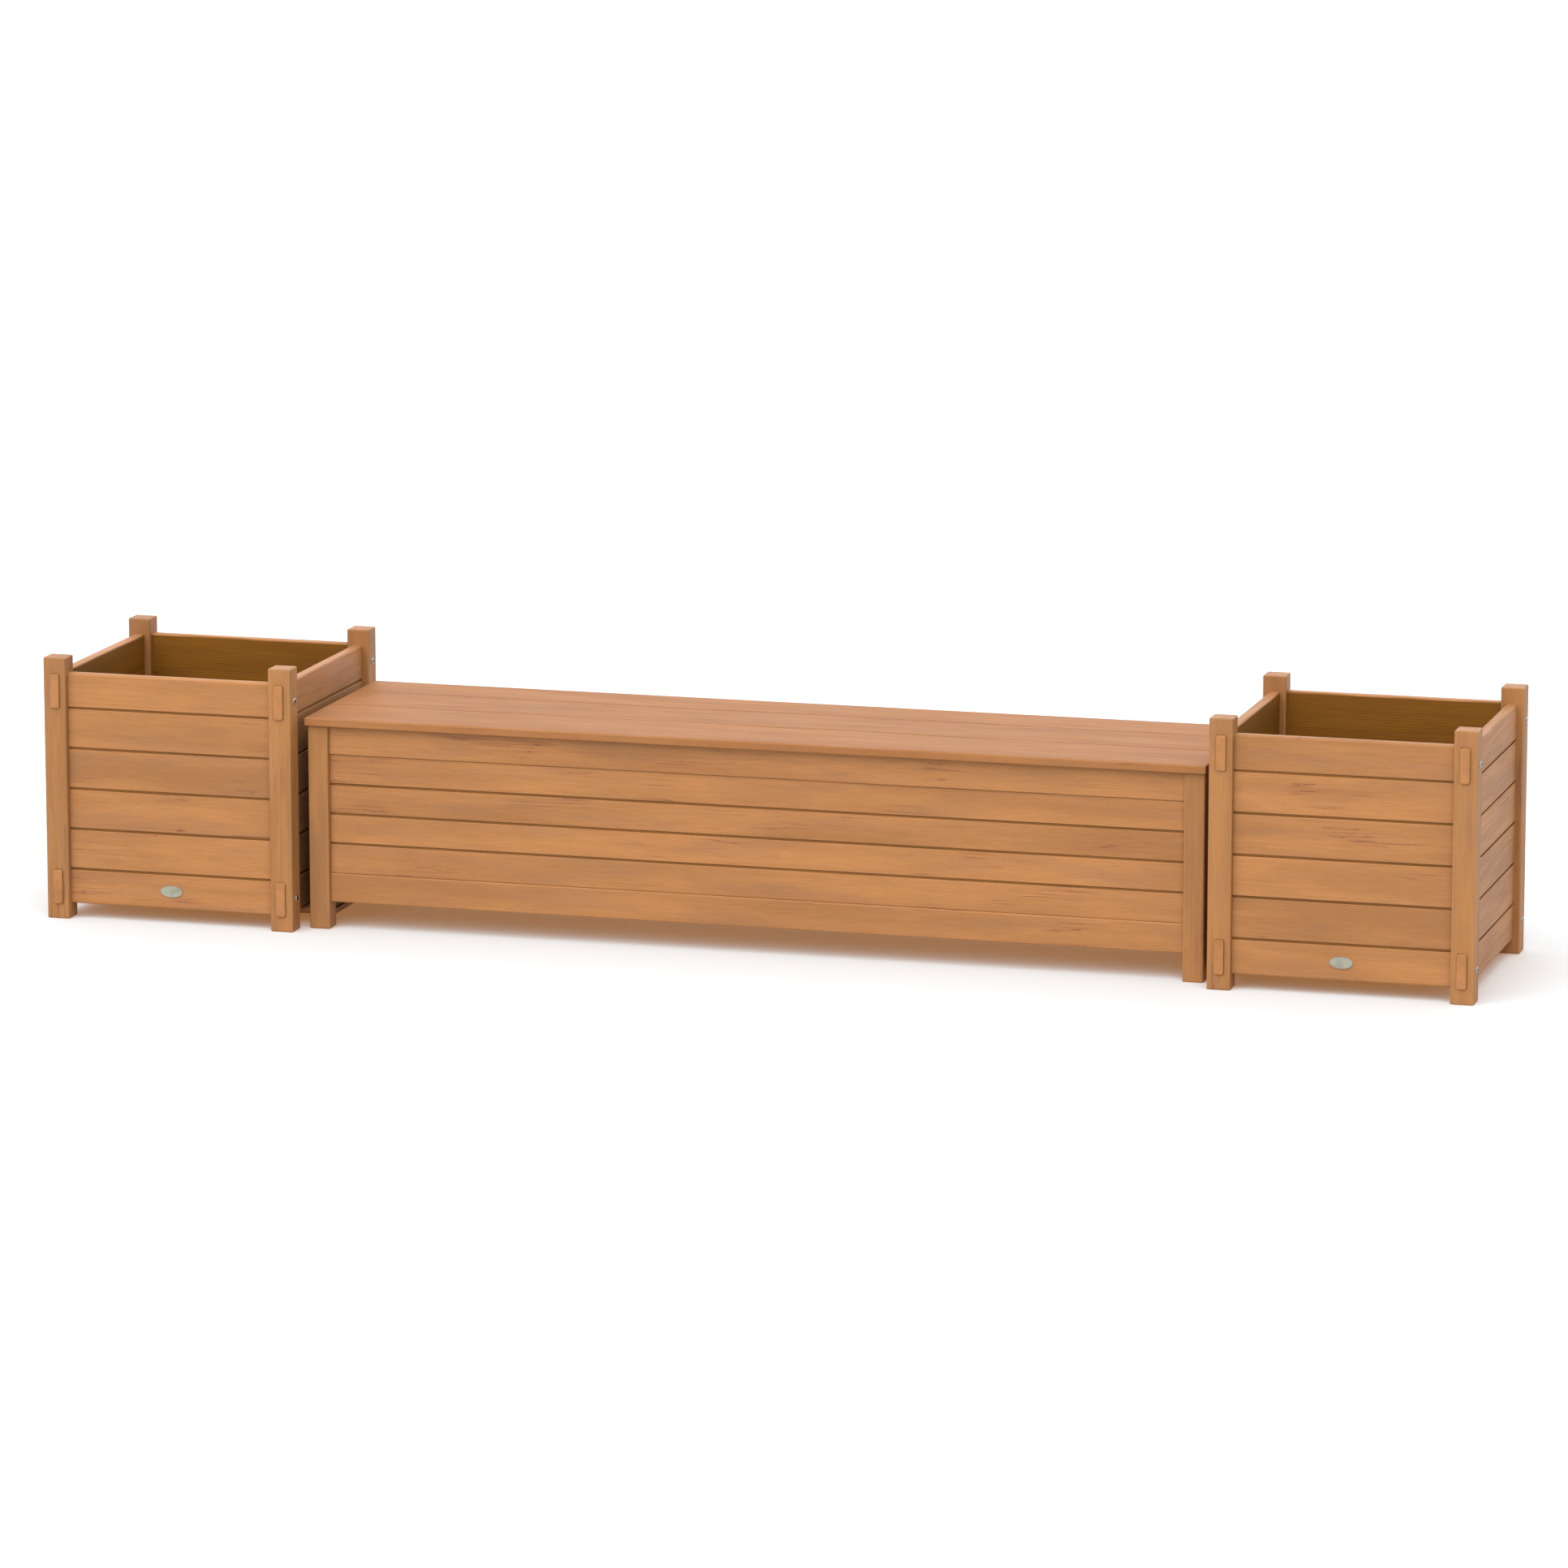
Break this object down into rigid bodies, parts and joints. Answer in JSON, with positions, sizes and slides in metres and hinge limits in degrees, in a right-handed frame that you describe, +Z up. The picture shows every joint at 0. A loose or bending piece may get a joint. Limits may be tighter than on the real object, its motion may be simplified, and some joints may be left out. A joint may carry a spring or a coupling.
{
  "type": "bench with planter",
  "caption": "Storage bench with a hinged boarded lid, standing between two square boarded planter boxes with corner posts and through-tenon joints.",
  "frame": {"origin": "on the ground, under the middle of the whole piece", "axes": "+X to the right along the bench, +Y from the front to the back, +Z up"},
  "size_m": [3.124, 0.57, 0.57],
  "materials": {
    "post_wood": "satin teak-coloured stain, grain upright",
    "board_wood": "satin teak-coloured stain, grain lengthwise",
    "lid_wood": "satin teak-coloured stain, lighter and pinker on top",
    "inner_wood": "matt stained softwood",
    "hinge_steel": "stainless, satin",
    "plate_metal": "plain dull plate"
  },
  "bodies": {
    "frame": {"left_planter_post_front_left": "post_wood", "left_planter_post_front_right": "post_wood", "left_planter_post_back_left": "post_wood", "left_planter_post_back_right": "post_wood", "left_planter_wall_left": "board_wood", "left_planter_floor_cleat_left": "inner_wood", "left_planter_wall_right": "board_wood", "left_planter_floor_cleat_right": "inner_wood", "left_planter_wall_front": "board_wood", "left_planter_wall_back": "board_wood", "left_planter_floor": "inner_wood", "left_planter_plate": "plate_metal", "right_planter_post_front_left": "post_wood", "right_planter_post_front_right": "post_wood", "right_planter_post_back_left": "post_wood", "right_planter_post_back_right": "post_wood", "right_planter_wall_left": "board_wood", "right_planter_floor_cleat_left": "inner_wood", "right_planter_wall_right": "board_wood", "right_planter_floor_cleat_right": "inner_wood", "right_planter_wall_front": "board_wood", "right_planter_wall_back": "board_wood", "right_planter_floor": "inner_wood", "right_planter_plate": "plate_metal", "bench_post_front_left": "post_wood", "bench_post_front_right": "post_wood", "bench_bottom_rail_front": "board_wood", "bench_slats_front": "board_wood", "bench_top_rail_front": "board_wood", "bench_post_back_left": "post_wood", "bench_post_back_right": "post_wood", "bench_bottom_rail_back": "board_wood", "bench_slats_back": "board_wood", "bench_top_rail_back": "board_wood", "bench_end_left": "board_wood", "bench_end_right": "board_wood", "bench_floor_bearer_left": "inner_wood", "bench_floor_bearer_middle": "inner_wood", "bench_floor_bearer_right": "inner_wood", "bench_floor_plank_1": "inner_wood", "bench_floor_plank_2": "inner_wood", "bench_floor_plank_3": "inner_wood", "bench_floor_plank_4": "inner_wood", "hinge_frame_leaf_left": "hinge_steel", "hinge_pin_left": "hinge_steel", "hinge_frame_leaf_middle": "hinge_steel", "hinge_pin_middle": "hinge_steel", "hinge_frame_leaf_right": "hinge_steel", "hinge_pin_right": "hinge_steel", "link_board_left": "inner_wood", "link_board_right": "inner_wood"},
    "lid": {"lid_board_front": "lid_wood", "lid_board_middle": "lid_wood", "lid_board_back": "lid_wood", "lid_batten_left": "inner_wood", "lid_batten_middle": "inner_wood", "lid_batten_right": "inner_wood", "hinge_lid_leaf_left": "hinge_steel", "hinge_lid_leaf_middle": "hinge_steel", "hinge_lid_leaf_right": "hinge_steel"}
  },
  "joints": [
    {"name": "lid_hinge", "type": "hinge", "parent": "frame", "child": "lid", "pos_m": [0, 0.2295, 0.44225], "axis": [-1, 0, 0], "range_deg": [0, 100]}
  ]
}
